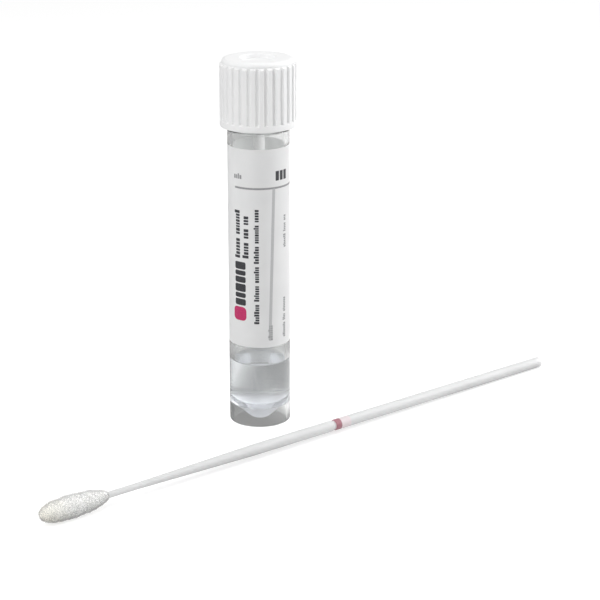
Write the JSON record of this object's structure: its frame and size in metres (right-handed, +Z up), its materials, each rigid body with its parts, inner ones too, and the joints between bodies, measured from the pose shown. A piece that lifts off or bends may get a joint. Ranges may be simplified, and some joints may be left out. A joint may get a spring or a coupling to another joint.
{
  "type": "specimen swab tube",
  "caption": "Self-standing screw-cap specimen tube with transport medium and a label, and the flocked swab that goes with it, lying in front of it.",
  "frame": {"origin": "centre of the tube's foot, on the surface that the tube stands on", "axes": "+Z up the tube's axis, +Y away from the side that the swab lies on, +X to the right seen from that side; the swab lies on the surface, its tip towards -X -Y"},
  "size_m": [0.1123, 0.0982, 0.084],
  "materials": {
    "clear_plastic": "gloss",
    "cap_plastic": "satin",
    "seal_rubber": "matte",
    "label_paper": "matte",
    "medium": "gloss",
    "shaft_plastic": "satin",
    "flock_fibre": "matte"
  },
  "bodies": {
    "tube": {"tube": "clear_plastic", "label": "label_paper", "transport_medium": "medium", "swab_shaft": "shaft_plastic", "flocked_tip": "flock_fibre"},
    "seal": {"seal_ring": "seal_rubber"},
    "cap": {"cap": "cap_plastic"}
  },
  "joints": [
    {"name": "cap_lift", "type": "slide", "parent": "tube", "child": "seal", "axis": [0, 0, 1], "range_m": [0, 0.018]},
    {"name": "cap_turn", "type": "hinge", "parent": "seal", "child": "cap", "pos_m": [0, 0, 0.0688], "axis": [0, 0, 1], "range_deg": [0, 2160]}
  ],
  "couplings": [
    {"joint": "cap_turn", "follows": "cap_lift", "rad_per_m": 2094.4}
  ]
}
